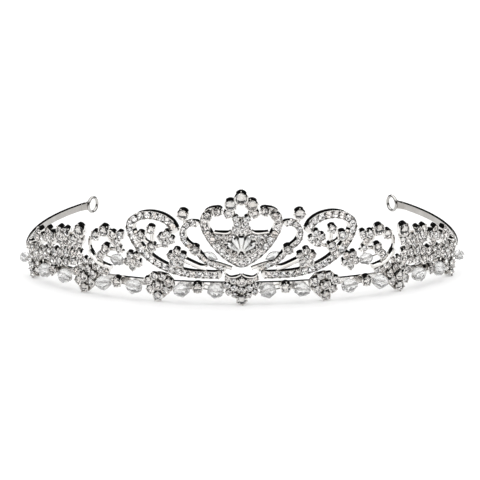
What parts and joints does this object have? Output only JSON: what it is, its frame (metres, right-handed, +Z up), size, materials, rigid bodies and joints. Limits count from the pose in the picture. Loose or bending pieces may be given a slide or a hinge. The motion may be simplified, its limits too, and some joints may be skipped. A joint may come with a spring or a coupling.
{
  "type": "bridal tiara",
  "caption": "Bridal tiara: a springy horseshoe headband with a heart-and-scroll front of stone settings, crystal beads on wires, and hair-grip loops at its ends.",
  "frame": {"origin": "middle of the footprint, on the surface that the tiara stands on", "axes": "+X to the viewer's right as seen from the front, -Y out of the front towards the viewer, +Y back along the arms, +Z up"},
  "size_m": [0.1528, 0.1302, 0.0388],
  "materials": {
    "plated_metal": "bright rhodium-coloured plating over cast and rolled metal",
    "crystal": "clear cut glass with polished facets"
  },
  "bodies": {
    "tiara": {"headband": "plated_metal", "heart_frame": "plated_metal", "crown_rosette": "plated_metal", "fan_frame": "plated_metal", "lozenge_centre": "plated_metal", "fan_crystal_centre": "crystal", "end_loop_right": "plated_metal", "lozenge_inner_right": "plated_metal", "lozenge_outer_right": "plated_metal", "lozenge_end_right": "plated_metal", "drop_inner_right": "plated_metal", "drop_middle_right": "plated_metal", "drop_outer_right": "plated_metal", "inner_scroll_right": "plated_metal", "big_scroll_right": "plated_metal", "inner_spray_right": "plated_metal", "inner_flower_right": "plated_metal", "outer_flower_right": "plated_metal", "outer_spray_right": "plated_metal", "side_scroll_right": "plated_metal", "side_flowers_upper_right": "plated_metal", "side_flowers_lower_right": "plated_metal", "fan_crystal_inner_right": "crystal", "fan_crystal_outer_right": "crystal", "leaf_crystal_right": "crystal", "end_loop_left": "plated_metal", "lozenge_inner_left": "plated_metal", "lozenge_outer_left": "plated_metal", "lozenge_end_left": "plated_metal", "drop_inner_left": "plated_metal", "drop_middle_left": "plated_metal", "drop_outer_left": "plated_metal", "inner_scroll_left": "plated_metal", "big_scroll_left": "plated_metal", "inner_spray_left": "plated_metal", "inner_flower_left": "plated_metal", "outer_flower_left": "plated_metal", "outer_spray_left": "plated_metal", "side_scroll_left": "plated_metal", "side_flowers_upper_left": "plated_metal", "side_flowers_lower_left": "plated_metal", "fan_crystal_inner_left": "crystal", "fan_crystal_outer_left": "crystal", "leaf_crystal_left": "crystal"},
    "bead_end_right": {"bead_end_right": "crystal"},
    "bead_inner_a_right": {"bead_inner_a_right": "crystal"},
    "bead_inner_b_right": {"bead_inner_b_right": "crystal"},
    "bead_middle_a_right": {"bead_middle_a_right": "crystal"},
    "bead_middle_b_right": {"bead_middle_b_right": "crystal"},
    "bead_outer_a_right": {"bead_outer_a_right": "crystal"},
    "bead_outer_b_right": {"bead_outer_b_right": "crystal"},
    "bead_spray_right": {"bead_spray_right": "crystal"},
    "bead_end_left": {"bead_end_left": "crystal"},
    "bead_inner_a_left": {"bead_inner_a_left": "crystal"},
    "bead_inner_b_left": {"bead_inner_b_left": "crystal"},
    "bead_middle_a_left": {"bead_middle_a_left": "crystal"},
    "bead_middle_b_left": {"bead_middle_b_left": "crystal"},
    "bead_outer_a_left": {"bead_outer_a_left": "crystal"},
    "bead_outer_b_left": {"bead_outer_b_left": "crystal"},
    "bead_spray_left": {"bead_spray_left": "crystal"}
  },
  "joints": [
    {"name": "spin_end_right", "type": "hinge", "parent": "tiara", "child": "bead_end_right", "pos_m": [0.07449, -0.0163, 0.00545], "axis": [0.3346, 0.9408, 0.054], "continuous": true},
    {"name": "spin_inner_a_right", "type": "hinge", "parent": "tiara", "child": "bead_inner_a_right", "pos_m": [0.0087, -0.06258, 0.00465], "axis": [-0.9788, -0.105, -0.1758], "continuous": true},
    {"name": "spin_inner_b_right", "type": "hinge", "parent": "tiara", "child": "bead_inner_b_right", "pos_m": [0.02001, -0.06085, 0.00465], "axis": [0.9635, 0.1937, -0.1851], "continuous": true},
    {"name": "spin_middle_a_right", "type": "hinge", "parent": "tiara", "child": "bead_middle_a_right", "pos_m": [0.03593, -0.05582, 0.00465], "axis": [-0.9002, -0.4009, -0.1699], "continuous": true},
    {"name": "spin_middle_b_right", "type": "hinge", "parent": "tiara", "child": "bead_middle_b_right", "pos_m": [0.04633, -0.05054, 0.00465], "axis": [0.8504, 0.4927, -0.1847], "continuous": true},
    {"name": "spin_outer_a_right", "type": "hinge", "parent": "tiara", "child": "bead_outer_a_right", "pos_m": [0.05968, -0.04029, 0.00465], "axis": [-0.6908, -0.6992, -0.1842], "continuous": true},
    {"name": "spin_outer_b_right", "type": "hinge", "parent": "tiara", "child": "bead_outer_b_right", "pos_m": [0.06672, -0.03225, 0.00465], "axis": [0.595, 0.7781, -0.2016], "continuous": true},
    {"name": "spin_spray_right", "type": "hinge", "parent": "tiara", "child": "bead_spray_right", "pos_m": [0.04147, -0.0517, 0.01285], "axis": [-0.8578, -0.4591, -0.2311], "continuous": true},
    {"name": "spin_end_left", "type": "hinge", "parent": "tiara", "child": "bead_end_left", "pos_m": [-0.07449, -0.0163, 0.00545], "axis": [-0.3346, 0.9408, 0.054], "continuous": true},
    {"name": "spin_inner_a_left", "type": "hinge", "parent": "tiara", "child": "bead_inner_a_left", "pos_m": [-0.0087, -0.06258, 0.00465], "axis": [0.9788, -0.105, -0.1758], "continuous": true},
    {"name": "spin_inner_b_left", "type": "hinge", "parent": "tiara", "child": "bead_inner_b_left", "pos_m": [-0.02001, -0.06085, 0.00465], "axis": [-0.9635, 0.1937, -0.1851], "continuous": true},
    {"name": "spin_middle_a_left", "type": "hinge", "parent": "tiara", "child": "bead_middle_a_left", "pos_m": [-0.03593, -0.05582, 0.00465], "axis": [0.9002, -0.4009, -0.1699], "continuous": true},
    {"name": "spin_middle_b_left", "type": "hinge", "parent": "tiara", "child": "bead_middle_b_left", "pos_m": [-0.04633, -0.05054, 0.00465], "axis": [-0.8504, 0.4927, -0.1847], "continuous": true},
    {"name": "spin_outer_a_left", "type": "hinge", "parent": "tiara", "child": "bead_outer_a_left", "pos_m": [-0.05968, -0.04029, 0.00465], "axis": [0.6908, -0.6992, -0.1842], "continuous": true},
    {"name": "spin_outer_b_left", "type": "hinge", "parent": "tiara", "child": "bead_outer_b_left", "pos_m": [-0.06672, -0.03225, 0.00465], "axis": [-0.595, 0.7781, -0.2016], "continuous": true},
    {"name": "spin_spray_left", "type": "hinge", "parent": "tiara", "child": "bead_spray_left", "pos_m": [-0.04147, -0.0517, 0.01285], "axis": [0.8578, -0.4591, -0.2311], "continuous": true}
  ]
}
